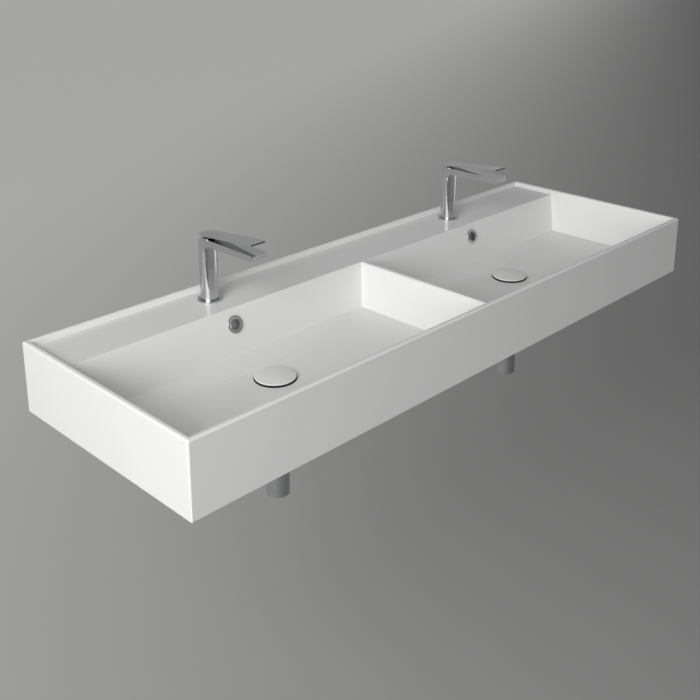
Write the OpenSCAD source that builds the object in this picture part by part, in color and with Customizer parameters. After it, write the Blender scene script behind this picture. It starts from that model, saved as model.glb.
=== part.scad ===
// Wall-hung double washbasin: one ceramic body with two bowls, and for each bowl
// a single-lever tap, an overflow ring, a click-clack waste and a slim bottle trap.
// Width runs along X, the front faces -Y and up is +Z. The origin lies on the wall
// face, at the middle of the basin's back.

/* [Basin] */
// Width of the basin along the wall
basin_w = 1400; // [1340:10:1500]
// Depth of the basin from the wall to its front
basin_d = 460; // [450:5:500]
// Height of the basin's outer faces
basin_h = 130; // [130:1:150]
// Thickness of the rim seen from above
rim_w = 10; // [9:1:12]
// Rounding of the four upright outer corners
corner_r = 4; // [3:1:6]
// Rounding of the rim and of the lower edge
edge_r = 2; // [1:0.5:2.5]
// Thickness of the front and end skirts
skirt_t = 12; // [11:1:14]
// Thickness of the back wall
back_t = 12; // [10:1:16]

/* [Tap deck] */
// Drop from the rim to the tap deck
deck_drop = 10; // [6:1:12]
// Depth of the tap deck behind the bowls
deck_d = 110; // [106:1:116]
// Thickness of the ceramic at the tap deck
deck_t = 15; // [12:1:18]
// Width of the top of the wall between the bowls
partition_w = 10; // [8:1:16]

/* [Bowls] */
// Distance between the middles of the two bowls
bowl_spacing = 700; // [680:5:720]
// Depth of the bowl floor at its corners, below the rim
bowl_depth = 93; // [85:1:95]
// Fall of the floor from the corners to the waste
floor_fall = 15; // [10:1:16]
// Slope of the back wall of a bowl, in degrees
back_draft = 19; // [15:1:21]
// Slope of the end walls and of the middle wall, in degrees
side_draft = 20; // [15:1:23]
// Slope of the front wall of a bowl, in degrees
front_draft = 14; // [12:1:18]
// Rounding between the walls and the floor
floor_r = 5; // [3:1:8]
// Thickness of the ceramic round a bowl
shell_t = 10; // [9:1:11]
// Radius of the level ground round the waste
sump_r = 42; // [40:1:46]

/* [Openings in the ceramic] */
// Diameter of a tap hole
tap_hole_d = 35; // [34:0.5:36]
// Diameter of a waste hole
waste_hole_d = 46; // [45:0.5:48]
// Thickness of the ceramic round a waste hole
waste_boss_t = 14; // [10:1:18]
// Distance of the waste from the wall
waste_setback = 240; // [235:1:250]
// Drop from the rim to the middle of the overflow
overflow_drop = 39; // [37:1:42]
// Width of the overflow channel
channel_w = 34; // [30:1:40]
// Depth of the overflow channel
channel_t = 7; // [6:0.5:8]
// Ceramic outside the overflow channel
channel_wall = 6; // [5:0.5:6]
// Distance between the two wall fixing holes of a pair
fixing_spacing = 280; // [240:10:320]
// Diameter of a wall fixing hole
fixing_hole_d = 16; // [12:1:20]
// Thickness of the pad behind a wall fixing hole
fixing_pad_t = 10; // [6:1:14]

/* [Tap body] */
// Distance of the tap from the wall
tap_setback = 58; // [54:1:62]
// Diameter of the tap column and width of its spout
column_d = 35; // [34.5:0.5:36]
// Height of the top of the tap body above the deck
tap_h = 126; // [120:1:140]
// Reach of the spout from the tap's axis
spout_reach = 150; // [145:1:165]
// Thickness of the spout at the column
spout_t = 14; // [13:0.5:17]
// Thickness of the spout at its tip
spout_tip_t = 11; // [10.5:0.5:13]
// Fall of the spout's top from the column to the tip
spout_fall = 0; // [0:0.5:3]
// Setback of the lower edge of the slanted nose
nose_setback = 5; // [4:1:12]
// Rounding of the nose corners, seen from above
nose_r = 4; // [2:0.5:5]
// Rounding between the column and the underside of the spout
throat_r = 6; // [3:0.5:8]
// Start of the top's rear slope, in front of the tap's axis
slope_lead = 3; // [2:0.5:4]
// Downward slope of the rear of the top, in degrees
tail_slope = 21; // [20:1:25]
// Diameter of the ring at the foot of the tap
ring_d = 48; // [46:1:52]
// Height of the ring at the foot of the tap
ring_h = 3.5; // [3:0.5:5]
// Depth of the groove between the ring and the column
groove_t = 1.2; // [0.8:0.1:1.6]
// Distance from the nose to the middle of the aerator
aerator_setback = 22; // [21.5:0.5:26]
// Diameter of the aerator
aerator_d = 19; // [17:0.5:20]
// Thread diameter of the two water inlets
inlet_d = 10; // [9:0.5:10]
// Thread diameter of the fixing stud
stud_d = 8; // [6:0.5:8]
// Length of the fixing stud below the deck surface
stud_drop = 70; // [60:1:80]

/* [Lever] */
// Width of the lever
lever_w = 35; // [33:0.5:36]
// Thickness of the lever
lever_t = 3; // [2.5:0.25:4]
// Length of the lever in front of the tap's axis
lever_front = 147; // [140:1:165]
// Length of the lever behind the tap's axis
lever_back = 12.5; // [12:0.5:14]
// Rise of the lever towards its tip, in degrees
lever_rise = 5.7; // [4:0.1:8]
// Gap between the tap body and the lever at the axis
lever_gap = 3.4; // [3:0.1:5]
// Diameter of the neck under the lever
neck_d = 16; // [14:0.5:16]
// Depth of the lever's pivot below the top of the tap body
pivot_drop = 15; // [14:0.5:18]
// Side of the square spindle
spindle_w = 7; // [6:0.5:8]
// Diameter of the cartridge
cartridge_d = 27.4; // [25:0.2:27.4]
// Length of the cartridge below its collar
cartridge_l = 25; // [22:1:30]
// Diameter of the turning part of the cartridge
rotor_d = 18.4; // [17:0.2:18.4]

/* [Waste] */
// Diameter of the ceramic waste cover
cover_d = 76; // [74:1:80]
// Height of the crown of the waste cover above the floor
cover_h = 10; // [9:0.5:12]
// Clearance under the waste cover when it is shut
cover_gap = 2.8; // [2.6:0.1:3.4]
// Travel of the waste cover
cover_travel = 8; // [6:0.5:10]
// Diameter of the waste flange
flange_d = 63; // [60:1:66]
// Depth of the recess for the waste flange
flange_recess = 3; // [2.6:0.1:3.2]
// Outer diameter of the waste tail
tail_d = 41.8; // [41:0.2:42]
// Bore of the waste tail
tail_bore = 34; // [32:0.5:35]
// Length of the waste below the bowl floor
tail_l = 70; // [64:1:80]

/* [Trap] */
// Drop from the rim to the bottom of the trap
trap_drop = 340; // [330:1:360]
// Outer diameter of the trap
trap_d = 44; // [44:0.5:50]
// Outer diameter of the trap's pipes
pipe_d = 32; // [32:0.5:33]
// Drop from the rim to the middle of the outlet pipe
outlet_drop = 240; // [238:1:246]
// Height of the trap's removable cup
cup_h = 77; // [70:1:84]
// Length of outlet pipe beyond the wall face
outlet_stub = 30; // [20:1:60]
// Diameter of the wall flange
wall_flange_d = 68; // [60:1:80]
// Wall thickness of the trap's pipes
pipe_t = 1.2; // [1:0.1:2]
// Step in the outlet pipe's radius where it enters the wall
pipe_step = 0.2; // [0.2:0.05:0.4]

/* [Fits] */
// Clearance between pieces that slide or turn
run_gap = 0.3; // [0.2:0.05:0.4]
// Clearance round a fixed piece in its hole
fit_gap = 0.2; // [0.1:0.05:0.3]
// Radial clearance of the spindle on its pin
pin_gap = 0.05; // [0.02:0.01:0.08]

/* [Hidden] */
$fn = 96;

LEFT = -1;
RIGHT = 1;
chrome = "silver";
ceramic = "white";
rubber = "dimgray";
plastic = "gainsboro";
brass = "goldenrod";

// Heights from here on are measured from the rim's top, so the basin's own are negative
above = 20;
half_w = basin_w / 2;
axis_x = bowl_spacing / 2;
deck_z = -deck_drop;
floor_z = -bowl_depth - floor_fall;

// Fixing pads and the overflow channel
fixing_pad_wall = 12;
channel_top = -8;
channel_low_z = floor_z + channel_top - channel_t;
channel_run = (-overflow_drop - channel_low_z - (shell_t + channel_t) * sin(back_draft))
  / cos(back_draft);

// Overflow: depths are measured from the bowl's back wall
overflow_hole_d = 25;
overflow_tube_d = overflow_hole_d - 2 * fit_gap;
overflow_bore = 20;
overflow_flare = 2.5;
overflow_ring_d = 34;
overflow_ring_t = 2;
overflow_lip_r = (overflow_ring_d - overflow_ring_t) / 2;
overflow_seal_t = 0.5;

// Tap heights are measured from the deck, distances from the tap's axis
column_r = column_d / 2;
spout_low_z = tap_h - spout_t;
tip_top_z = tap_h - spout_fall;
tip_low_z = tip_top_z - spout_tip_t;
foot_drop = 2;
foot_d = 30;
foot_bore_r = foot_d / 2 + fit_gap;
gasket_in_r = foot_d / 2 + 3;
gasket_out_r = ring_d / 2 - 2;
throat_low = spout_low_z - throat_r;
inlet_x = 7.5;
inlet_y = -5;
stud_y = 9;
socket_depth = 12;
stud_grip = 12;
pivot_z = tap_h - pivot_drop;
chamber_d = cartridge_d + 2 * run_gap;
collar_h = 3;
collar_d = 22;
rotor_top = pivot_z + 2;
nut_top = pivot_z - 3;
nut_h = 5;
seat_z = nut_top - nut_h - cartridge_l;
rotor_floor = pivot_z - 12;
rotor_base = rotor_floor - 2.7;
spindle_tail = 9;
pin_r = 1.5;
neck_low = pivot_z + 6.5;
lever_low = tap_h + lever_gap;
spindle_top = lever_low - 2.4;
screw_d = 5;
screw_z = pivot_z + 10;
aerator_h = 8;
aerator_y = -(spout_reach - aerator_setback);
clamp_seal_t = 3;
clamp_plate_t = 2;
clamp_d = 48;
clamp_slot_w = 27;
clamp_slot_y = 3;
nut_af = 13;
stud_nut_h = 8;
gasket_groove = 1.4;

// Waste and trap heights are measured from the bowl floor at the waste
cover_r = cover_d / 2;
cover_edge_r = 1.6;
gasket_t = 1;
flange_low = -flange_recess + gasket_t;
flange_top = flange_low + 2.4;
seat_r = 21.5;
tail_r = tail_d / 2;
bore_r = tail_bore / 2;
seat_low = flange_top - (seat_r - bore_r);
boss_low = -basin_h - floor_z;
lower_seal_t = 4;
lower_seal_d = 64;
waste_nut_h = 9;
waste_nut_af = 54;
guide_d = 14;
guide_top = -8;
stem_d = 6;
stem_grip = 12;
stem_low = guide_top - cover_travel - stem_grip;
guide_floor = stem_low - 2;
guide_low = guide_floor - 4;
spider_t = 4;
spider_low = guide_low - spider_t;
arm_w = 3;
carrier_d = 44;
carrier_t = 1.6;
hub_d = 31.6;
hub_low = -1.6;
lip_d = 39.6;
lip_low = -0.9;

pipe_r = pipe_d / 2;
pipe_bore_r = pipe_r - pipe_t;
trap_r = trap_d / 2;
trap_low = -trap_drop - floor_z;
cup_top = trap_low + cup_h;
cup_wall = 1.6;
cup_bore_r = trap_r - cup_wall;
cup_floor_t = 3;
cup_edge = 0.8;
cup_seal_t = 1.2;
spigot_r = cup_bore_r - fit_gap;
spigot_h = 13;
head_bore_r = spigot_r - 1.2;
head_low = cup_top + cup_seal_t;
head_h = 44;
head_top = head_low + head_h;
head_roof_t = 4;
neck_h = 12;
neck_top = head_top + neck_h;
thread_r = pipe_r + 3;
pipe_hole_r = pipe_r + fit_gap;
pipe_seal_t = 2.5;
gland_lip = 2.5;
gland_top = neck_top + pipe_seal_t + gland_lip;
outlet_z = -outlet_drop - floor_z;
pipe_start = pipe_r + 8;
stub_end = trap_r + 16;
outlet_nut_r = thread_r + 4;
outlet_nut_back = 10;
outlet_nut_l = outlet_nut_back + pipe_seal_t + gland_lip;
inlet_seal_t = 2.5;
inlet_nut_r = tail_r + 3.6;
inlet_nut_grip = 10;
inlet_nut_lip = 4;
tube_top = -tail_l - inlet_seal_t;
tube_flange_t = 1.5;
tube_flange_r = inlet_nut_r - 3.5;
dip_reach = 36;
dip_low = cup_top - dip_reach;
wall_flange_h = 12;
wall_flange_edge = 1.5;
wall_flange_rise = 3;

// Inner faces of the bowls at a height z, moved outwards by grow
function end_x(z, grow = 0) =
  half_w - rim_w + z * tan(side_draft) + grow / cos(side_draft);
function mid_x(z, grow = 0) =
  partition_w / 2 + (deck_z - z) * tan(side_draft) - grow / cos(side_draft);
function back_y(z, grow = 0) =
  -rim_w - deck_d - (deck_z - z) * tan(back_draft) + grow / cos(back_draft);
function front_y(z, grow = 0) =
  -(basin_d - rim_w) - z * tan(front_draft) - grow / cos(front_draft);

// Placing: everything below is drawn from the rim's top and set at the wall face's middle
module at_rim() {
  translate([0, 0, basin_h / 2]) children();
}

module at_tap(side) {
  at_rim() translate([side * axis_x, -tap_setback, deck_z]) children();
}

module at_waste(side) {
  at_rim() translate([side * axis_x, -waste_setback, floor_z]) children();
}

// Z points out of the overflow into the bowl, Y up along the bowl's back wall
module on_back_wall(side) {
  translate([side * axis_x, back_y(-overflow_drop), -overflow_drop])
    rotate([90 - back_draft, 0, 0]) children();
}

module at_overflow(side) {
  at_rim() on_back_wall(side) children();
}

module ring(r_out, r_in, z_low, z_high) {
  translate([0, 0, z_low]) difference() {
    cylinder(r = r_out, h = z_high - z_low);
    translate([0, 0, -1]) cylinder(r = r_in, h = z_high - z_low + 2);
  }
}

// A block with its lower left corner at the origin, pushed out along one axis
module along_y(length) {
  rotate([90, 0, 0]) linear_extrude(length) children();
}

module along_x(length) {
  rotate([90, 0, 90]) linear_extrude(length) children();
}

module rounded_rect(w, h, r) {
  translate([r, 0]) square([w - 2 * r, h]);
  translate([0, r]) square([w, h - 2 * r]);
  for (x = [r, w - r], y = [r, h - r]) translate([x, y]) circle(r);
}

// Outer block of the basin, with all its edges rounded
module outer_block() {
  intersection() {
    translate([-half_w, -basin_d, -basin_h - 1])
      linear_extrude(basin_h + 2) rounded_rect(basin_w, basin_d, corner_r);
    translate([-half_w, 1, -basin_h])
      along_y(basin_d + 2) rounded_rect(basin_w, basin_h, edge_r);
    translate([-half_w - 1, -basin_d, -basin_h])
      along_x(basin_w + 2) rounded_rect(basin_d, basin_h, edge_r);
  }
}

// Middle of the rounding between the floor and a wall that leans towards way, -1 or 1
function foot_centre(low, draft, way) = low + way * floor_r * (tan(draft) - 1 / cos(draft));

// Straight part of such a wall: its end above the rim, and where the rounding starts
function wall_line(low, draft, way) = [
  [low + way * (above + bowl_depth) * tan(draft), above],
  [foot_centre(low, draft, way) + way * floor_r * cos(draft),
   -bowl_depth + floor_r * (1 - sin(draft))]
];

// Trough outline between two leaning walls, with rounded floor corners
module trough(low_a, low_b, draft_a, draft_b) {
  a = wall_line(low_a, draft_a, -1);
  b = wall_line(low_b, draft_b, 1);
  centre_a = foot_centre(low_a, draft_a, -1);
  centre_b = foot_centre(low_b, draft_b, 1);
  polygon([a[0], a[1], [centre_a, -bowl_depth], [centre_b, -bowl_depth], b[1], b[0]]);
  for (x = [centre_a, centre_b]) translate([x, floor_r - bowl_depth]) circle(floor_r);
}

// Outline between two leaning walls with square floor corners
module flare(low_a, low_b, z_low, draft_a, draft_b) {
  rise = above - z_low;
  polygon([
    [low_a - rise * tan(draft_a), above], [low_a, z_low],
    [low_b, z_low], [low_b + rise * tan(draft_b), above]
  ]);
}

// Falling floor of the right-hand bowl: from a rectangle inside the walls to the waste
module bowl_floor(z_low, inset, grow) {
  hull() {
    for (x = [mid_x(z_low, grow) + inset, end_x(z_low, grow) - inset],
         y = [front_y(z_low, grow) + inset, back_y(z_low, grow) - inset])
      translate([x, y, z_low]) cylinder(r = 1, h = 1, $fn = 16);
    translate([axis_x, -waste_setback, floor_z - grow]) cylinder(r = sump_r, h = 1, $fn = 64);
  }
}

// Inside of the right-hand bowl
module bowl_space() {
  z_low = -bowl_depth;
  intersection() {
    translate([0, 1, 0]) along_y(basin_d + 2)
      trough(mid_x(z_low), end_x(z_low), side_draft, side_draft);
    along_x(half_w + 2)
      trough(front_y(z_low), back_y(z_low), front_draft, back_draft);
  }
  bowl_floor(z_low, floor_r + 1, 0);
}

// Outside of the ceramic round the right-hand bowl
module bowl_shell() {
  z_low = -bowl_depth - shell_t;
  intersection() {
    translate([0, 1, 0]) along_y(basin_d + 2)
      flare(mid_x(z_low, shell_t), end_x(z_low, shell_t), z_low, side_draft, side_draft);
    along_x(half_w + 2)
      flare(front_y(z_low, shell_t), back_y(z_low, shell_t), z_low, front_draft, back_draft);
  }
  bowl_floor(z_low, 2, shell_t);
}

// Recess inside the rim that forms the tap deck and the top of the middle wall.
// Its ends and its front lie in the same planes as the bowls' walls.
module deck_recess() {
  end = wall_line(end_x(-bowl_depth), side_draft, 1);
  front = wall_line(front_y(-bowl_depth), front_draft, -1);
  intersection() {
    translate([0, 1, 0]) along_y(basin_d + 2)
      polygon([[-end[0].x, end[0].y], [-end[1].x, end[1].y], end[1], end[0]]);
    translate([-half_w, 0, 0]) along_x(basin_w)
      polygon([front[0], front[1], [-rim_w, front[1].y], [-rim_w, above]]);
    translate([-half_w, -basin_d, deck_z]) cube([basin_w, basin_d, above - deck_z + 1]);
  }
}

module underside() {
  translate([skirt_t - half_w, skirt_t - basin_d, -basin_h - 1])
    cube([basin_w - 2 * skirt_t, basin_d - skirt_t - back_t, basin_h + 1 - deck_drop - deck_t]);
}

// Overflow channel: down behind the bowl's back wall, then forward to the waste hole.
// The outer form is the same channel grown by the ceramic round it.
module channel(side, grow) {
  wide = channel_w + 2 * grow;
  on_back_wall(side) translate([-wide / 2, -channel_run, -shell_t - channel_t - grow])
    cube([wide, channel_run + wide / 2, channel_t + grow + min(grow, 1)]);
  translate([side * axis_x - wide / 2, -waste_setback, channel_low_z - grow])
    cube([wide, waste_setback + back_y(channel_low_z, shell_t) + grow, channel_t + grow]);
}

module fixing_places() {
  for (side = [LEFT, RIGHT], offset = [-1, 1])
    translate([side * axis_x + offset * fixing_spacing / 2, 0, -basin_h / 2])
      rotate([90, 0, 0]) children();
}

module basin() {
  color(ceramic) at_rim() difference() {
    union() {
      difference() {
        outer_block();
        underside();
      }
      intersection() {
        outer_block();
        union() {
          bowl_shell();
          mirror([1, 0, 0]) bowl_shell();
          for (side = [LEFT, RIGHT]) {
            channel(side, channel_wall);
            translate([side * axis_x, -waste_setback, -basin_h])
              cylinder(d = waste_hole_d + 2 * waste_boss_t, h = basin_h + floor_z - 1);
          }
        }
      }
      fixing_places() translate([0, 0, back_t - 1])
        cylinder(d = fixing_hole_d + 2 * fixing_pad_wall, h = fixing_pad_t + 1);
    }
    deck_recess();
    bowl_space();
    mirror([1, 0, 0]) bowl_space();
    fixing_places() translate([0, 0, -1]) cylinder(d = fixing_hole_d, h = back_t + fixing_pad_t + 2);
    for (side = [LEFT, RIGHT]) {
      channel(side, 0);
      on_back_wall(side) translate([0, 0, -shell_t - 1])
        cylinder(d = overflow_hole_d, h = shell_t + 2);
      translate([side * axis_x, -waste_setback, floor_z - flange_recess])
        cylinder(d = flange_d + 2, h = flange_recess + 1);
      translate([side * axis_x, -waste_setback, -basin_h - 1])
        cylinder(d = waste_hole_d, h = basin_h + floor_z + 2);
      translate([side * axis_x, -tap_setback, deck_z - deck_t - 1])
        cylinder(d = tap_hole_d, h = deck_t + 2);
    }
  }
}

// Overflow: a chrome ring pressed into the hole, over a thin seal
module overflow_seals() {
  color(rubber) for (side = [LEFT, RIGHT]) at_overflow(side)
    ring(overflow_lip_r, overflow_hole_d / 2, 0, overflow_seal_t);
}

module overflow_ring(side) {
  face_z = overflow_seal_t + overflow_ring_t;
  bore_r = overflow_bore / 2;
  color(chrome) at_overflow(side) rotate_extrude() {
    polygon([
      [bore_r, -shell_t], [overflow_tube_d / 2, -shell_t], [overflow_tube_d / 2, overflow_seal_t],
      [overflow_lip_r, overflow_seal_t], [overflow_lip_r, face_z],
      [bore_r + overflow_flare, face_z], [bore_r, face_z - overflow_ring_t / 2]
    ]);
    translate([overflow_lip_r, face_z - overflow_ring_t / 2]) circle(overflow_ring_t / 2);
  }
}

// Tap body and what fixes it to the deck
module foot_ring(side) {
  r = ring_d / 2;
  color(chrome) at_tap(side) rotate_extrude() difference() {
    polygon([[foot_bore_r, 0], [r, 0], [r, ring_h - 1], [r - 1, ring_h], [foot_bore_r, ring_h]]);
    translate([gasket_in_r, -1]) square([gasket_out_r - gasket_in_r, gasket_groove + 1]);
  }
}

module tap_gaskets() {
  color(rubber) for (side = [LEFT, RIGHT]) at_tap(side)
    ring(gasket_out_r, gasket_in_r, 0, gasket_groove);
}

// Side outline of the top of the tap body and its spout, with Y to the right
module spout_outline() {
  back = column_r + 1;
  base_z = throat_low - 5;
  nose_low = -(spout_reach - nose_setback);
  polygon([
    [back, base_z],
    [back, tap_h - (back + slope_lead) * tan(tail_slope)],
    [-slope_lead, tap_h],
    [-spout_reach, tip_top_z],
    [nose_low, tip_low_z],
    [-column_r, spout_low_z],
    [-column_r / 2, base_z]
  ]);
}

// Outline of the tap body from above: round at the back, rounded nose at the front
module spout_plan() {
  circle(column_r);
  translate([-column_r, nose_r - spout_reach - 1]) square([column_d, spout_reach + 1 - nose_r]);
  translate([nose_r - column_r, -spout_reach]) square([column_d - 2 * nose_r, spout_reach]);
  for (x = [-1, 1]) translate([x * (column_r - nose_r), nose_r - spout_reach]) circle(nose_r);
}

module tap_body(side) {
  color(chrome) at_tap(side) difference() {
    union() {
      translate([0, 0, -foot_drop]) cylinder(d = foot_d, h = foot_drop + ring_h + 1);
      translate([0, 0, ring_h]) cylinder(r = column_r - groove_t, h = 2);
      translate([0, 0, ring_h + 1]) cylinder(r = column_r, h = spout_low_z - ring_h);
      intersection() {
        translate([0, 0, ring_h + 1]) linear_extrude(tap_h) spout_plan();
        translate([-column_r - 1, 0, 0]) along_x(column_d + 2) spout_outline();
      }
      throat();
    }
    translate([0, 0, seat_z]) cylinder(d = chamber_d, h = tap_h);
    for (x = [-inlet_x, inlet_x]) translate([x, inlet_y, 0]) {
      translate([0, 0, -foot_drop - 1]) cylinder(d = inlet_d, h = socket_depth + 1);
      cylinder(d = inlet_d / 2, h = seat_z + 1);
    }
    translate([0, stud_y, -foot_drop - 1]) cylinder(d = stud_d, h = stud_grip + 1);
    translate([0, aerator_y, 0]) cylinder(d = aerator_d + 2 * fit_gap, h = tip_low_z + aerator_h);
  }
}

// Concave rounding that carries the underside of the spout into the round column
module throat() {
  intersection() {
    rotate_extrude() difference() {
      translate([column_r - 2, throat_low]) square([throat_r + 2, throat_r + 1]);
      translate([column_r + throat_r, throat_low]) circle(throat_r);
    }
    translate([-column_r, -column_r - throat_r - 1, 0])
      cube([column_d, column_r + throat_r + 1, tap_h]);
  }
}

module aerator(side) {
  rim_t = 1.8;
  screen_t = 1.5;
  hole_d = 2;
  color(chrome) at_tap(side) translate([0, aerator_y, tip_low_z]) difference() {
    cylinder(d = aerator_d, h = aerator_h);
    translate([0, 0, screen_t + 1]) cylinder(d = aerator_d - 2 * rim_t, h = aerator_h);
    translate([0, 0, -1]) cylinder(d = aerator_d - 2 * rim_t, h = 2);
    for (n = [0, 6, 12], k = [1 : max(n, 1)])
      rotate([0, 0, k * 360 / max(n, 1)]) translate([n * aerator_d / 36, 0, 0])
        cylinder(d = hole_d, h = aerator_h, $fn = 24);
  }
}

module tap_studs() {
  color(brass) for (side = [LEFT, RIGHT]) at_tap(side)
    translate([0, stud_y, -stud_drop]) cylinder(d = stud_d, h = stud_drop + stud_grip - foot_drop);
}

// Horseshoe that straddles the inlets and hangs on the stud
module horseshoe(z_low, t) {
  translate([0, 0, z_low]) difference() {
    cylinder(d = clamp_d, h = t);
    translate([0, stud_y, -1]) cylinder(d = stud_d + 2 * fit_gap, h = t + 2);
    translate([-clamp_slot_w / 2, -clamp_d, -1]) cube([clamp_slot_w, clamp_d + clamp_slot_y, t + 2]);
  }
}

module clamp_seals() {
  color(rubber) for (side = [LEFT, RIGHT]) at_tap(side)
    horseshoe(-deck_t - clamp_seal_t, clamp_seal_t);
}

module clamp_plates() {
  color(chrome) for (side = [LEFT, RIGHT]) at_tap(side)
    horseshoe(-deck_t - clamp_seal_t - clamp_plate_t, clamp_plate_t);
}

module stud_nuts() {
  color(brass) for (side = [LEFT, RIGHT]) at_tap(side)
    translate([0, stud_y, -deck_t - clamp_seal_t - clamp_plate_t - stud_nut_h]) difference() {
      cylinder(d = nut_af / cos(30), h = stud_nut_h, $fn = 6);
      translate([0, 0, -1]) cylinder(d = stud_d, h = stud_nut_h + 2);
    }
}

// Cartridge, the nut that holds it, and the parts that turn and tilt with the lever
module cartridge(side) {
  color(plastic) at_tap(side) difference() {
    union() {
      translate([0, 0, seat_z]) cylinder(d = cartridge_d, h = cartridge_l);
      translate([0, 0, seat_z]) cylinder(d = collar_d, h = cartridge_l + collar_h);
    }
    translate([0, 0, rotor_base]) cylinder(d = rotor_d + 2 * run_gap, h = tap_h);
    for (x = [-inlet_x, inlet_x]) translate([x, inlet_y, seat_z - 1])
      cylinder(d = inlet_d / 2, h = 6);
  }
}

module cartridge_nut(side) {
  color(brass) at_tap(side)
    ring(chamber_d / 2 - fit_gap, collar_d / 2 + fit_gap, seat_z + cartridge_l, nut_top);
}

module rotor(side) {
  slot_w = spindle_w + 2 * run_gap;
  color(plastic) at_tap(side) difference() {
    translate([0, 0, rotor_base]) cylinder(d = rotor_d, h = rotor_top - rotor_base);
    translate([-slot_w / 2, -rotor_d, rotor_floor]) cube([slot_w, 2 * rotor_d, tap_h]);
    translate([-rotor_d, 0, pivot_z]) rotate([0, 90, 0]) cylinder(r = pin_r, h = 2 * rotor_d);
  }
}

module spindle_pin(side) {
  length = rotor_d - 2;
  color(chrome) at_tap(side)
    translate([-length / 2, 0, pivot_z]) rotate([0, 90, 0]) cylinder(r = pin_r, h = length);
}

module spindle(side) {
  color(brass) at_tap(side) difference() {
    translate([-spindle_w / 2, -spindle_w / 2, pivot_z - spindle_tail])
      cube([spindle_w, spindle_w, spindle_top - pivot_z + spindle_tail]);
    translate([-spindle_w, 0, pivot_z]) rotate([0, 90, 0])
      cylinder(r = pin_r + pin_gap, h = 2 * spindle_w);
  }
}

// Flat blade with a round rear end that rises to its tip, on a neck that takes the spindle
module lever(side) {
  end_r = lever_w / 2;
  tip_r = 4;
  socket = spindle_w + 2 * pin_gap;
  color(chrome) at_tap(side) difference() {
    union() {
      translate([0, 0, lever_low]) rotate([-lever_rise, 0, 0]) linear_extrude(lever_t) {
        translate([0, lever_back - end_r]) circle(end_r);
        translate([-end_r, tip_r - lever_front])
          square([lever_w, lever_front + lever_back - tip_r - end_r]);
        translate([tip_r - end_r, -lever_front]) square([lever_w - 2 * tip_r, lever_front / 2]);
        for (x = [-1, 1]) translate([x * (end_r - tip_r), tip_r - lever_front]) circle(tip_r);
      }
      translate([0, 0, neck_low]) cylinder(d = neck_d, h = lever_low - neck_low + lever_t / 2);
    }
    translate([-socket / 2, -socket / 2, neck_low - 1])
      cube([socket, socket, spindle_top - neck_low + 1]);
    translate([0, 0, screw_z]) rotate([-90, 0, 0]) cylinder(d = screw_d, h = neck_d);
  }
}

module lever_screw(side) {
  length = neck_d / 2 - spindle_w / 2 - 0.5;
  color(chrome) at_tap(side) translate([0, spindle_w / 2, screw_z]) rotate([-90, 0, 0])
    difference() {
      cylinder(d = screw_d, h = length);
      translate([0, 0, length / 2]) cylinder(d = screw_d / 2, h = length, $fn = 6);
    }
}

// Waste: a domed ceramic cover on a sliding carrier, over a flanged tail
module waste_cover(side) {
  e = cover_edge_r;
  edge_x = cover_r - e;
  edge_z = cover_gap + e;
  rise = cover_h - edge_z;
  dome_r = (edge_x * edge_x + rise * rise - e * e) / (2 * (rise - e));
  color(ceramic) at_waste(side) rotate_extrude() {
    intersection() {
      translate([0, cover_h - dome_r]) circle(dome_r, $fn = 360);
      translate([0, cover_gap]) square([edge_x * (1 + e / (dome_r - e)), cover_h]);
      translate([0, edge_z]) square([cover_r, cover_h]);
    }
    translate([0, cover_gap]) square([edge_x, e]);
    intersection() {
      translate([edge_x, edge_z]) circle(e);
      square([cover_d, cover_d]);
    }
  }
}

module cover_carrier(side) {
  color(chrome) at_waste(side) {
    translate([0, 0, cover_gap - carrier_t]) cylinder(d = carrier_d, h = carrier_t);
    translate([0, 0, hub_low]) cylinder(d = hub_d, h = cover_gap - hub_low);
    translate([0, 0, stem_low]) cylinder(d = stem_d, h = cover_gap - stem_low);
  }
}

module cover_seal(side) {
  color(rubber) at_waste(side) ring(lip_d / 2, hub_d / 2, lip_low, cover_gap - carrier_t);
}

module click_guide(side) {
  color(plastic) at_waste(side) difference() {
    union() {
      translate([0, 0, guide_low]) cylinder(d = guide_d, h = guide_top - guide_low);
      translate([0, 0, spider_low]) cylinder(d = stem_d, h = spider_t + 1);
    }
    translate([0, 0, guide_floor]) cylinder(d = stem_d + 2 * run_gap, h = guide_top - guide_floor + 1);
  }
}

module waste_gaskets() {
  color(rubber) for (side = [LEFT, RIGHT]) at_waste(side)
    ring(flange_d / 2 - 1, waste_hole_d / 2, -flange_recess, flange_low);
}

module waste_body(side) {
  r = flange_d / 2;
  color(chrome) at_waste(side) {
    difference() {
      rotate_extrude() polygon([
        [bore_r, -tail_l], [tail_r, -tail_l], [tail_r, flange_low], [r, flange_low],
        [r, flange_top - 1], [r - 1, flange_top], [seat_r, flange_top], [bore_r, seat_low]
      ]);
      translate([-channel_t, -tail_d, channel_top - channel_t])
        cube([2 * channel_t, 2 * tail_d, channel_t]);
    }
    translate([0, 0, spider_low]) linear_extrude(spider_t) difference() {
      union() {
        circle(d = guide_d);
        for (a = [0, 90]) rotate(a) square([tail_bore + 2, arm_w], center = true);
      }
      circle(d = stem_d);
    }
  }
}

module waste_seals() {
  color(rubber) for (side = [LEFT, RIGHT]) at_waste(side)
    ring(lower_seal_d / 2, tail_r, boss_low - lower_seal_t, boss_low);
}

module waste_nut(side) {
  z_low = boss_low - lower_seal_t - waste_nut_h;
  color(chrome) at_waste(side) translate([0, 0, z_low]) difference() {
    cylinder(d = waste_nut_af / cos(30), h = waste_nut_h, $fn = 6);
    translate([0, 0, -1]) cylinder(d = tail_d, h = waste_nut_h + 2);
  }
}

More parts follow.
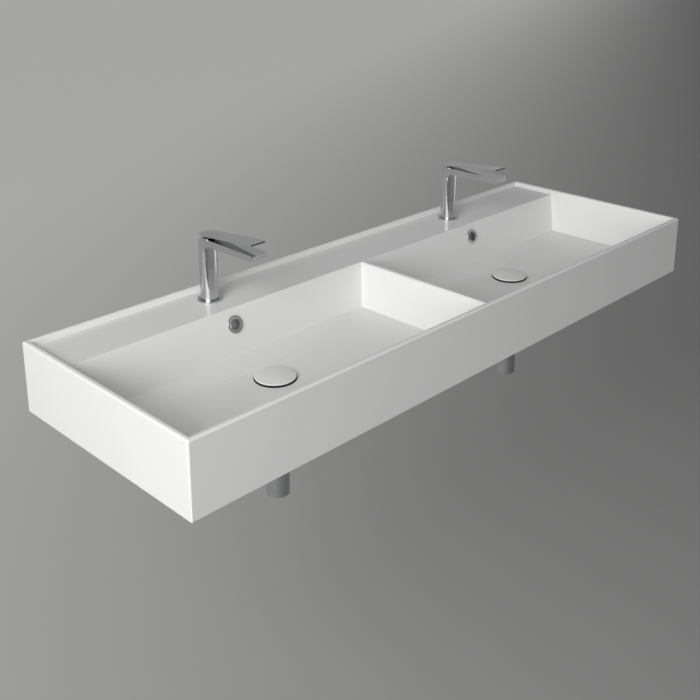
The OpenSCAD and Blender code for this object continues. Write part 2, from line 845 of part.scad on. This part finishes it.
// Trap: nut, dip tube, gland, head with side outlet, removable cup and outlet pipe
module inlet_nut(side) {
  flange_z = tube_top - tube_flange_t;
  z_low = flange_z - inlet_nut_lip;
  z_high = inlet_nut_grip - tail_l;
  color(chrome) at_waste(side) rotate_extrude() polygon([
    [pipe_hole_r, z_low], [inlet_nut_r, z_low], [inlet_nut_r, z_high], [tail_r, z_high],
    [tail_r, -tail_l], [tube_flange_r, -tail_l], [tube_flange_r, flange_z], [pipe_hole_r, flange_z]
  ]);
}

module dip_tube(side) {
  color(chrome) at_waste(side) rotate_extrude() polygon([
    [pipe_bore_r, dip_low], [pipe_r, dip_low], [pipe_r, tube_top - tube_flange_t],
    [tube_flange_r, tube_top - tube_flange_t], [tube_flange_r, tube_top], [pipe_bore_r, tube_top]
  ]);
}

module gland_nut(side) {
  seal_top = neck_top + pipe_seal_t;
  color(chrome) at_waste(side) rotate_extrude() polygon([
    [thread_r, head_top], [trap_r, head_top], [trap_r, gland_top],
    [pipe_hole_r, gland_top], [pipe_hole_r, seal_top], [thread_r, seal_top]
  ]);
}

module trap_head(side) {
  color(chrome) at_waste(side) difference() {
    union() {
      translate([0, 0, head_low]) cylinder(r = trap_r, h = head_h);
      translate([0, 0, head_low - spigot_h]) cylinder(r = spigot_r, h = spigot_h + 1);
      translate([0, 0, head_top - 1]) cylinder(r = thread_r, h = neck_h + 1);
      translate([0, 0, outlet_z]) rotate([-90, 0, 0]) cylinder(r = thread_r, h = stub_end);
    }
    translate([0, 0, head_low - spigot_h - 1])
      cylinder(r = head_bore_r, h = head_h + spigot_h + 1 - head_roof_t);
    translate([0, 0, head_low]) cylinder(r = pipe_hole_r, h = neck_top - head_low + 1);
    translate([0, 0, outlet_z]) rotate([-90, 0, 0]) cylinder(r = pipe_hole_r, h = stub_end + 1);
  }
}

module trap_cup(side) {
  color(chrome) at_waste(side) rotate_extrude() polygon([
    [0, trap_low], [trap_r - cup_edge, trap_low], [trap_r, trap_low + cup_edge], [trap_r, cup_top],
    [cup_bore_r, cup_top], [cup_bore_r, trap_low + cup_floor_t], [0, trap_low + cup_floor_t]
  ]);
}

module outlet_nut(side) {
  color(chrome) at_waste(side) translate([0, stub_end - outlet_nut_back, outlet_z])
    rotate([-90, 0, 0]) difference() {
      cylinder(r = outlet_nut_r, h = outlet_nut_l);
      translate([0, 0, -1]) cylinder(r = thread_r, h = outlet_nut_back + pipe_seal_t + 1);
      cylinder(r = pipe_hole_r, h = outlet_nut_l + 1);
    }
}

module outlet_pipe(side) {
  pipe_end = waste_setback + outlet_stub;
  end_r = pipe_r - pipe_step;
  color(chrome) at_waste(side) translate([0, 0, outlet_z]) rotate([-90, 0, 0])
    rotate_extrude() polygon([
      [pipe_bore_r, pipe_start], [pipe_r, pipe_start], [pipe_r, waste_setback],
      [end_r, waste_setback], [end_r, pipe_end], [pipe_bore_r, pipe_end]
    ]);
}

module trap_seals() {
  color(rubber) for (side = [LEFT, RIGHT]) at_waste(side) {
    ring(tube_flange_r, pipe_r, tube_top, -tail_l);
    ring(thread_r, pipe_r, neck_top, neck_top + pipe_seal_t);
    ring(trap_r, spigot_r, cup_top, head_low);
    translate([0, stub_end, outlet_z]) rotate([-90, 0, 0]) ring(thread_r, pipe_r, 0, pipe_seal_t);
  }
}

module wall_flanges() {
  r = wall_flange_d / 2;
  collar_r = pipe_r + 2.5;
  slope_top = wall_flange_edge + wall_flange_rise;
  color(chrome) for (side = [LEFT, RIGHT]) at_waste(side)
    translate([0, waste_setback, outlet_z]) rotate([90, 0, 0]) rotate_extrude() polygon([
      [pipe_hole_r, 0], [r, 0], [r, wall_flange_edge], [r - 1, wall_flange_edge + 1],
      [collar_r + wall_flange_rise, slope_top], [collar_r, slope_top + wall_flange_rise],
      [collar_r, wall_flange_h], [pipe_hole_r, wall_flange_h]
    ]);
}

basin();
tap_gaskets();
tap_studs();
clamp_seals();
clamp_plates();
stud_nuts();
waste_gaskets();
waste_seals();
trap_seals();
overflow_seals();
wall_flanges();

foot_ring(LEFT);  // left_foot_ring
tap_body(LEFT);  // left_tap_body
aerator(LEFT);  // left_aerator
cartridge(LEFT);  // left_cartridge
cartridge_nut(LEFT);  // left_cartridge_nut
rotor(LEFT);  // left_rotor
spindle_pin(LEFT);  // left_spindle_pin
spindle(LEFT);  // left_spindle
lever(LEFT);  // left_lever
lever_screw(LEFT);  // left_lever_screw
overflow_ring(LEFT);  // left_overflow_ring
waste_cover(LEFT);  // left_waste_cover
cover_carrier(LEFT);  // left_cover_carrier
cover_seal(LEFT);  // left_cover_seal
click_guide(LEFT);  // left_click_guide
waste_body(LEFT);  // left_waste_body
waste_nut(LEFT);  // left_waste_nut
inlet_nut(LEFT);  // left_inlet_nut
dip_tube(LEFT);  // left_dip_tube
gland_nut(LEFT);  // left_gland_nut
trap_head(LEFT);  // left_trap_head
trap_cup(LEFT);  // left_trap_cup
outlet_nut(LEFT);  // left_outlet_nut
outlet_pipe(LEFT);  // left_outlet_pipe

foot_ring(RIGHT);  // right_foot_ring
tap_body(RIGHT);  // right_tap_body
aerator(RIGHT);  // right_aerator
cartridge(RIGHT);  // right_cartridge
cartridge_nut(RIGHT);  // right_cartridge_nut
rotor(RIGHT);  // right_rotor
spindle_pin(RIGHT);  // right_spindle_pin
spindle(RIGHT);  // right_spindle
lever(RIGHT);  // right_lever
lever_screw(RIGHT);  // right_lever_screw
overflow_ring(RIGHT);  // right_overflow_ring
waste_cover(RIGHT);  // right_waste_cover
cover_carrier(RIGHT);  // right_cover_carrier
cover_seal(RIGHT);  // right_cover_seal
click_guide(RIGHT);  // right_click_guide
waste_body(RIGHT);  // right_waste_body
waste_nut(RIGHT);  // right_waste_nut
inlet_nut(RIGHT);  // right_inlet_nut
dip_tube(RIGHT);  // right_dip_tube
gland_nut(RIGHT);  // right_gland_nut
trap_head(RIGHT);  // right_trap_head
trap_cup(RIGHT);  // right_trap_cup
outlet_nut(RIGHT);  // right_outlet_nut
outlet_pipe(RIGHT);  // right_outlet_pipe
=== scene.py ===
import math

import bpy
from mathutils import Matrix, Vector


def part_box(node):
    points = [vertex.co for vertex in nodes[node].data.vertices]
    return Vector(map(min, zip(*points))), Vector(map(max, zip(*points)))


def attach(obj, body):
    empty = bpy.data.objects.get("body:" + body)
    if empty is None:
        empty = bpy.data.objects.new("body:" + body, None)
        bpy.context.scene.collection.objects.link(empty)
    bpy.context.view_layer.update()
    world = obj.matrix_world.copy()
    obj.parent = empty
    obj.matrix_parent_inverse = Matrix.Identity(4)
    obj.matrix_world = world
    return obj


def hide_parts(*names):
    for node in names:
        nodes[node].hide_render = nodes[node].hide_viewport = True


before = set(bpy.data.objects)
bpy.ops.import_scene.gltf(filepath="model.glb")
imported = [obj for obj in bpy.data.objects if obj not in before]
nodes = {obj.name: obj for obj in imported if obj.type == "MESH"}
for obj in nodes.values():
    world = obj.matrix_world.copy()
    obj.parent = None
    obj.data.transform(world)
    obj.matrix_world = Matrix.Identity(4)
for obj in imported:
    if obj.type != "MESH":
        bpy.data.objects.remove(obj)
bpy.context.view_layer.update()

bpy.ops.object.select_all(action="DESELECT")

# Ceramic body. One slip-cast fireclay piece with two bowls, a tap deck and a thin rim.
# It is dipped in a white glaze, which leaves every edge softly rounded, and is left bare
# on the back, which lies on the wall, and on all that faces down.
GLAZE_WHITE = (0.905, 0.905, 0.895, 1)
GLAZE_CLOUDED = (0.885, 0.887, 0.88, 1)
BARE_CLAY = (0.74, 0.72, 0.68, 1)
CLAY_SPECKS = (0.66, 0.64, 0.6, 1)
BARE_BACK = (-0.0012, -0.0004)
BARE_UNDERSIDE = (0.55, 0.85)
GLAZE_RIPPLE = 0.00012
CLAY_GRAIN = 0.0002
GLAZE_EDGE = 0.0009
RIM_ROUND = 0.0044
RIM_STEPS = 6
MIDDLE_WALL_TOP = 0.055
MIDDLE_WALL_REACH = 0.007
LONG_EDGE = 0.2
NEAR = 0.0001
SAME_POINT = 0.000002
SAME_FACE = math.radians(0.4)


class Wire:
    """One output of a node in a material. Maths on it adds Math nodes."""

    def __init__(self, socket):
        self.socket = socket
        self.tree = socket.id_data

    def add(self, kind, inputs=(), out=0, **settings):
        """A node of this kind with its settings made first, then its inputs set or linked."""
        node = self.tree.nodes.new(kind)
        for name, value in settings.items():
            setattr(node, name, value)
        for name, value in dict(inputs).items():
            if isinstance(value, Wire):
                self.tree.links.new(value.socket, node.inputs[name])
            else:
                node.inputs[name].default_value = value
        return Wire(node.outputs[out])

    def maths(self, operation, first, second):
        return self.add("ShaderNodeMath", {0: first, 1: second}, operation=operation)

    def __add__(self, other):
        return self.maths("ADD", self, other)

    def __radd__(self, other):
        return self.maths("ADD", other, self)

    def __rsub__(self, other):
        return self.maths("SUBTRACT", other, self)

    def __mul__(self, other):
        return self.maths("MULTIPLY", self, other)

    def __rmul__(self, other):
        return self.maths("MULTIPLY", other, self)

    def larger(self, other):
        return self.maths("MAXIMUM", self, other)

    def above(self, low, high):
        """0 below low, 1 above high and a smooth step between them."""
        return self.add("ShaderNodeMapRange", {"Value": self, "From Min": low, "From Max": high},
                        interpolation_type="SMOOTHSTEP")

    def noise(self, scale, detail=2.0, roughness=0.5):
        return self.add("ShaderNodeTexNoise", {"Vector": self, "Scale": scale, "Detail": detail,
                                               "Roughness": roughness})

    def tint(self, low, high):
        """The colour low where this is 0 and high where it is 1."""
        return self.add("ShaderNodeMix", {0: self, 6: low, 7: high}, out=2, data_type="RGBA")

    def bump(self, strength=1.0):
        """The normal of a surface that has this height, in metres."""
        return self.add("ShaderNodeBump", {"Height": self, "Distance": 1.0, "Strength": strength})


def finish_named(name, **fixed):
    """A new material: the wire of its Object coordinates, its shader node and itself."""
    material = bpy.data.materials.new(name)
    material.use_nodes = True
    shader = material.node_tree.nodes["Principled BSDF"]
    for socket, value in fixed.items():
        shader.inputs[socket.replace("_", " ")].default_value = value
    place = material.node_tree.nodes.new("ShaderNodeTexCoord")
    return Wire(place.outputs["Object"]), shader, material


def feed(shader, **wires):
    """Links wires to the shader's sockets of these names."""
    for socket, wire in wires.items():
        wire.tree.links.new(wire.socket, shader.inputs[socket.replace("_", " ")])


place, shader, glaze = finish_named("white_glaze", Coat_Weight=0.08, Coat_Roughness=0.1)
facing = place.add("ShaderNodeNewGeometry", out="Normal")
upward = facing.add("ShaderNodeSeparateXYZ", {0: facing}, out="Z")
depth = place.add("ShaderNodeSeparateXYZ", {0: place}, out="Y")
bare = depth.above(*BARE_BACK).larger((0 - upward).above(*BARE_UNDERSIDE))
cloud = place.noise(2.6)
ripple = place.noise(55.0, 1.5)
grain = place.noise(900.0, 3.0)
glazed = cloud.above(0.3, 0.7).tint(GLAZE_WHITE, GLAZE_CLOUDED)
clay = grain.above(0.3, 0.7).tint(BARE_CLAY, CLAY_SPECKS)
relief = ripple * GLAZE_RIPPLE + grain * bare * CLAY_GRAIN
feed(shader, Base_Color=bare.tint(glazed, clay), Roughness=0.36 + 0.06 * cloud + 0.3 * bare,
     Normal=relief.bump(0.35))


def clean_copy(node, name):
    """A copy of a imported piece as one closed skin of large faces."""
    bpy.ops.object.select_all(action="DESELECT")
    piece = nodes[node].copy()
    piece.data = nodes[node].data.copy()
    piece.name = name
    piece.parent = None
    piece.matrix_world.identity()
    bpy.context.collection.objects.link(piece)
    bpy.context.view_layer.objects.active = piece
    piece.select_set(True)
    bpy.ops.object.mode_set(mode="EDIT")
    bpy.ops.mesh.customdata_custom_splitnormals_clear()
    bpy.ops.mesh.select_all(action="SELECT")
    bpy.ops.mesh.remove_doubles(threshold=SAME_POINT)
    bpy.ops.mesh.dissolve_limited(angle_limit=SAME_FACE)
    bpy.ops.object.mode_set(mode="OBJECT")
    return piece


def soften(piece, width, steps=2, angle=25):
    """Rounds the edges of a piece that turn by more than angle degrees, by width in metres."""
    bpy.ops.object.shade_smooth_by_angle(angle=math.radians(angle))
    bevel = piece.modifiers.new("soft_edges", "BEVEL")
    bevel.width = width
    bevel.segments = steps
    bevel.limit_method = "ANGLE"
    bevel.angle_limit = math.radians(angle)
    bevel.use_clamp_overlap = True
    bevel.harden_normals = True
    bpy.ops.object.modifier_apply(modifier=bevel.name)


def select_only(piece, kind, wanted):
    """Selects just the wanted faces or edges of a piece and leaves it in edit mode."""
    bpy.ops.object.mode_set(mode="EDIT")
    bpy.ops.mesh.select_mode(type=kind)
    bpy.ops.mesh.select_all(action="DESELECT")
    bpy.ops.object.mode_set(mode="OBJECT")
    for item in piece.data.polygons if kind == "FACE" else piece.data.edges:
        item.select = wanted(item)
    bpy.ops.object.mode_set(mode="EDIT")


def dress(piece, material):
    """Puts one material all over a piece."""
    piece.data.materials.clear()
    piece.data.materials.append(material)


basin = clean_copy("basin", "ceramic_body")
points = basin.data.vertices
rim_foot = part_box("basin")[1][2] - RIM_ROUND


def on_middle_wall(edge):
    """Whether an edge is one of the two long ones on top of the wall between the bowls."""
    ends = [points[number].co for number in edge.vertices]
    return (all(abs(end.z - MIDDLE_WALL_TOP) < NEAR and abs(end.x) < MIDDLE_WALL_REACH
                for end in ends)
            and (ends[0] - ends[1]).length > LONG_EDGE)


# The wall between the bowls is rounded. The rim is cut off where its own rounding starts
# and is built up again from there, in steps along a quarter of a circle.
select_only(basin, "EDGE", on_middle_wall)
bpy.ops.mesh.bevel(offset=RIM_ROUND, segments=RIM_STEPS)
bpy.ops.mesh.select_all(action="SELECT")
bpy.ops.mesh.bisect(plane_co=(0, 0, rim_foot), plane_no=(0, 0, 1),
                    clear_outer=True, use_fill=True)
bpy.ops.object.mode_set(mode="OBJECT")
select_only(basin, "FACE", lambda face: face.center.z > rim_foot - NEAR)
for step in range(RIM_STEPS):
    start = math.pi / 2 * step / RIM_STEPS
    end = math.pi / 2 * (step + 1) / RIM_STEPS
    bpy.ops.mesh.inset(thickness=RIM_ROUND * (math.cos(start) - math.cos(end)),
                       depth=RIM_ROUND * (math.sin(end) - math.sin(start)))
    bpy.ops.mesh.remove_doubles(threshold=NEAR)
bpy.ops.object.mode_set(mode="OBJECT")
soften(basin, GLAZE_EDGE, angle=30)
flat = basin.modifiers.new("flat_walls", "WEIGHTED_NORMAL")
flat.keep_sharp = True
bpy.ops.object.modifier_apply(modifier=flat.name)
dress(basin, glaze)
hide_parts("basin")
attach(basin, "basin")

# Overflow rings. Turned and chromed brass rings, each pressed into a hole in a bowl's back
# wall over a thin rubber seal.
CHROME_SMEARED = (0.56, 0.565, 0.57, 1)
CHROME_CLEAN = (0.6, 0.605, 0.61, 1)
RUBBER_BLACK = (0.018, 0.018, 0.019, 1)
RUBBER_DUSTY = (0.035, 0.035, 0.036, 1)
RUBBER_GRAIN = 0.0001

place, shader, chrome = finish_named("polished_chrome", Metallic=1.0)
smear = place.noise(14.0, 3.0, 0.6)
film = place.noise(120.0)
feed(shader, Base_Color=smear.above(0.35, 0.7).tint(CHROME_SMEARED, CHROME_CLEAN),
     Roughness=0.035 + 0.05 * smear.above(0.4, 0.75) * film)

place, shader, rubber = finish_named("black_rubber")
speckle = place.noise(700.0, 3.0)
feed(shader, Base_Color=speckle.tint(RUBBER_BLACK, RUBBER_DUSTY),
     Roughness=0.55 + 0.2 * speckle, Normal=(speckle * RUBBER_GRAIN).bump())

dress(nodes["overflow_seals"], rubber)
for side in ("left", "right"):
    dress(nodes[f"{side}_overflow_ring"], chrome)

# Waste sets. A flanged brass tail, clamped through the bowl's floor between a gasket and a
# rubber seal by a hexagonal nut, carries a sprung guide. The domed cover of glazed ceramic
# is fixed to a carrier whose stem slides in the guide.
PLASTIC_GREY = (0.62, 0.62, 0.6, 1)
PLASTIC_PALE = (0.68, 0.68, 0.66, 1)
PLASTIC_GRAIN = 0.00005
SEAL_OUT = 0.0393
SEAL_IN = 0.0328
SEAL_THICK = 0.0005
SEAL_SIDES = 96
FLANGE_RISE = 0.0004

place, shader, plastic = finish_named("moulded_plastic")
mottle = place.noise(300.0)
feed(shader, Base_Color=mottle.tint(PLASTIC_GREY, PLASTIC_PALE),
     Roughness=0.45 + 0.15 * mottle, Normal=(mottle * PLASTIC_GRAIN).bump())

# A thin seal lies on the bowl's floor round each flange. It is a ring of SEAL_SIDES sides,
# raised to its thickness.
for side in ("left", "right"):
    low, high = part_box(f"{side}_waste_body")
    middle = ((low[0] + high[0]) / 2, (low[1] + high[1]) / 2, high[2] - FLANGE_RISE)
    bpy.ops.object.select_all(action="DESELECT")
    bpy.ops.mesh.primitive_circle_add(vertices=SEAL_SIDES, radius=SEAL_OUT, location=middle)
    seal = bpy.context.active_object
    seal.name = f"{side}_floor_seal"
    bpy.ops.object.mode_set(mode="EDIT")
    bpy.ops.mesh.extrude_edges_move()
    shrink = SEAL_IN / SEAL_OUT
    bpy.ops.transform.resize(value=(shrink, shrink, 1), center_override=middle)
    bpy.ops.mesh.select_all(action="SELECT")
    bpy.ops.mesh.extrude_region_move(TRANSFORM_OT_translate={"value": (0, 0, SEAL_THICK)})
    bpy.ops.mesh.select_all(action="SELECT")
    bpy.ops.mesh.normals_make_consistent(inside=False)
    bpy.ops.object.mode_set(mode="OBJECT")
    bpy.ops.object.transform_apply(location=True, rotation=True, scale=True)
    edge = seal.modifiers.new("soft_edges", "BEVEL")
    edge.width = SEAL_THICK / 4
    edge.segments = 2
    bpy.ops.object.modifier_apply(modifier=edge.name)
    bpy.ops.object.shade_smooth_by_angle(angle=math.radians(40))
    dress(seal, rubber)
    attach(seal, "basin")
    dress(nodes[f"{side}_waste_cover"], glaze)
    for part in ("cover_carrier", "waste_body", "waste_nut"):
        dress(nodes[f"{side}_{part}"], chrome)
    dress(nodes[f"{side}_cover_seal"], rubber)
    dress(nodes[f"{side}_click_guide"], plastic)
dress(nodes["waste_gaskets"], rubber)
dress(nodes["waste_seals"], rubber)

# Bottle traps. Chromed brass: a nut on the waste's tail, a dip tube, a head with a side
# outlet, a cup that unscrews, and the pipe to the wall with its flange.
for side in ("left", "right"):
    for part in ("inlet_nut", "dip_tube", "gland_nut", "trap_head", "trap_cup", "outlet_nut",
                 "outlet_pipe"):
        dress(nodes[f"{side}_{part}"], chrome)
dress(nodes["wall_flanges"], chrome)
dress(nodes["trap_seals"], rubber)

# Tap feet. A chromed ring on a gasket stands on the deck. Under the deck a threaded brass
# stud pulls a rubber and a steel horseshoe up against the ceramic.
BRASS_CLEAN = (0.71, 0.52, 0.24, 1)
BRASS_TARNISHED = (0.5, 0.34, 0.14, 1)
TURNING_MARKS = 0.00015

place, shader, brass = finish_named("plain_brass", Metallic=1.0)
tarnish = place.noise(60.0, 4.0, 0.6)
turned = place.add("ShaderNodeTexWave", {"Vector": place, "Scale": 320.0}, out="Fac",
                   bands_direction="Z")
feed(shader, Base_Color=tarnish.above(0.35, 0.75).tint(BRASS_CLEAN, BRASS_TARNISHED),
     Roughness=0.26 + 0.22 * tarnish, Normal=(turned * TURNING_MARKS).bump())

dress(nodes["tap_gaskets"], rubber)
dress(nodes["clamp_seals"], rubber)
dress(nodes["clamp_plates"], chrome)
dress(nodes["tap_studs"], brass)
dress(nodes["stud_nuts"], brass)
for side in ("left", "right"):
    dress(nodes[f"{side}_foot_ring"], chrome)

# Tap bodies. A round column and a flat spout, cast in brass in one piece, ground flat,
# polished and chromed. An aerator sits in the underside of the spout, and a cartridge with
# its nut in the column.
BODY_EDGE = 0.0005

for side in ("left", "right"):
    body = clean_copy(f"{side}_tap_body", f"{side}_polished_body")
    soften(body, BODY_EDGE)
    dress(body, chrome)
    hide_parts(f"{side}_tap_body")
    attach(body, "basin")
    dress(nodes[f"{side}_aerator"], chrome)
    dress(nodes[f"{side}_cartridge"], plastic)
    dress(nodes[f"{side}_cartridge_nut"], brass)
    dress(nodes[f"{side}_rotor"], plastic)
    dress(nodes[f"{side}_spindle_pin"], chrome)
    dress(nodes[f"{side}_spindle"], brass)

# Levers. A flat blade of chromed brass on a round neck, held on the spindle by a small
# screw at the back.
LEVER_EDGE = 0.0006

for side in ("left", "right"):
    lever = clean_copy(f"{side}_lever", f"{side}_polished_lever")
    soften(lever, LEVER_EDGE)
    dress(lever, chrome)
    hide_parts(f"{side}_lever")
    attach(lever, f"{side}_handle")
    dress(nodes[f"{side}_lever_screw"], chrome)

# Studio. A plain floor below the basin, made pale by painted light: it glows for camera and
# reflection rays, brightest far behind the basin and fading along FADE_WAY to the front right.
# A large soft lamp stands at the left and a smaller one nearer the basin, and a dim even light
# comes from all round.
FLOOR_Z = -0.785
FLOOR_SIZE = 60
FLOOR_SMOOTH = (0.31, 0.31, 0.308, 1)
FLOOR_TOOTH = (0.32, 0.32, 0.318, 1)
FADE_WAY = (0.44, -0.9, 0)
FADE_EDGES = (-2.86, 1.69)
# Painted light on the floor: the colour of its glow far behind the basin, and of its dark end
# towards the front right.
PAINTED_FLOOR_LIT = (0.292, 0.292, 0.288, 1)
PAINTED_FLOOR_DIM = (0.002, 0.002, 0.002, 1)
NO_GLOW = (0, 0, 0, 1)
BASIN_MIDDLE = (-0.2, -0.25, 0.0)
SURROUND = 0.21
SURROUND_IN_SHINE = 0.16

bpy.ops.object.select_all(action="DESELECT")
bpy.ops.mesh.primitive_plane_add(size=FLOOR_SIZE, location=(0, 0, FLOOR_Z))
floor = bpy.context.active_object
floor.name = "studio_floor"
bpy.ops.object.transform_apply(location=True, rotation=True, scale=True)
place, shader, paper = finish_named("floor_painted_glow", Roughness=0.9, Emission_Strength=1.0)
tooth = place.noise(9.0)
along = place.add("ShaderNodeVectorMath", {0: place, 1: FADE_WAY}, out="Value",
                  operation="DOT_PRODUCT")
seen = place.add("ShaderNodeLightPath", out="Is Camera Ray").larger(
    place.add("ShaderNodeLightPath", out="Is Glossy Ray"))
# Painted light: the floor glows for camera and reflection rays, brightest far behind the basin
# and fading along FADE_WAY.
painted_floor_glow = along.above(*FADE_EDGES).tint(PAINTED_FLOOR_LIT, PAINTED_FLOOR_DIM)
feed(shader, Base_Color=tooth.tint(FLOOR_SMOOTH, FLOOR_TOOTH),
     Emission_Color=seen.tint(NO_GLOW, painted_floor_glow))
dress(floor, paper)


def lamp(name, power, width, height, where, target):
    """A rectangular area lamp at a place, turned towards its target."""
    bpy.ops.object.light_add(type="AREA", location=where)
    light = bpy.context.active_object
    light.name = name
    light.data.energy = power
    light.data.shape = "RECTANGLE"
    light.data.size = width
    light.data.size_y = height
    light.rotation_mode = "QUATERNION"
    light.rotation_quaternion = (Vector(target) - Vector(where)).to_track_quat("-Z", "Y")


lamp("key_left", power=110, width=2.6, height=2.6, where=(-4.0, -2.4, 1.3),
     target=BASIN_MIDDLE)
lamp("fill_above", power=27, width=1.5, height=1.5, where=(-2.4, -0.9, 1.4),
     target=BASIN_MIDDLE)

world = bpy.data.worlds.new("even_surround")
bpy.context.scene.world = world
world.use_nodes = True
sky = world.node_tree.nodes["Background"]
sky.inputs["Color"].default_value = (1, 1, 1, 1)
glossy = Wire(sky.outputs[0]).add("ShaderNodeLightPath", out="Is Glossy Ray")
feed(sky, Strength=SURROUND + SURROUND_IN_SHINE * glossy)

# Camera. It looks down on the left end of the basin, with the picture shifted as in the
# photograph so that upright edges stay nearly parallel.
CAMERA_PLACE = (-1.4108, -1.473, 0.7749)
AZIMUTH = math.radians(-45.383)
ELEVATION = math.radians(16.743)
FOCUS_PX = 1005.26
PICTURE_PX = 700
SHIFT_PX = -150
SENSOR_MM = 36
FAR_CLIP = 100

bpy.ops.object.camera_add(location=CAMERA_PLACE)
camera = bpy.context.active_object
camera.name = "photograph_view"
look = Vector((-math.sin(AZIMUTH) * math.cos(ELEVATION),
               math.cos(AZIMUTH) * math.cos(ELEVATION), -math.sin(ELEVATION)))
camera.rotation_mode = "QUATERNION"
camera.rotation_quaternion = look.to_track_quat("-Z", "Y")
camera.data.sensor_width = SENSOR_MM
camera.data.lens = FOCUS_PX / PICTURE_PX * SENSOR_MM
camera.data.shift_y = SHIFT_PX / PICTURE_PX
camera.data.clip_end = FAR_CLIP
bpy.context.scene.camera = camera
bpy.context.scene.view_settings.view_transform = "Standard"
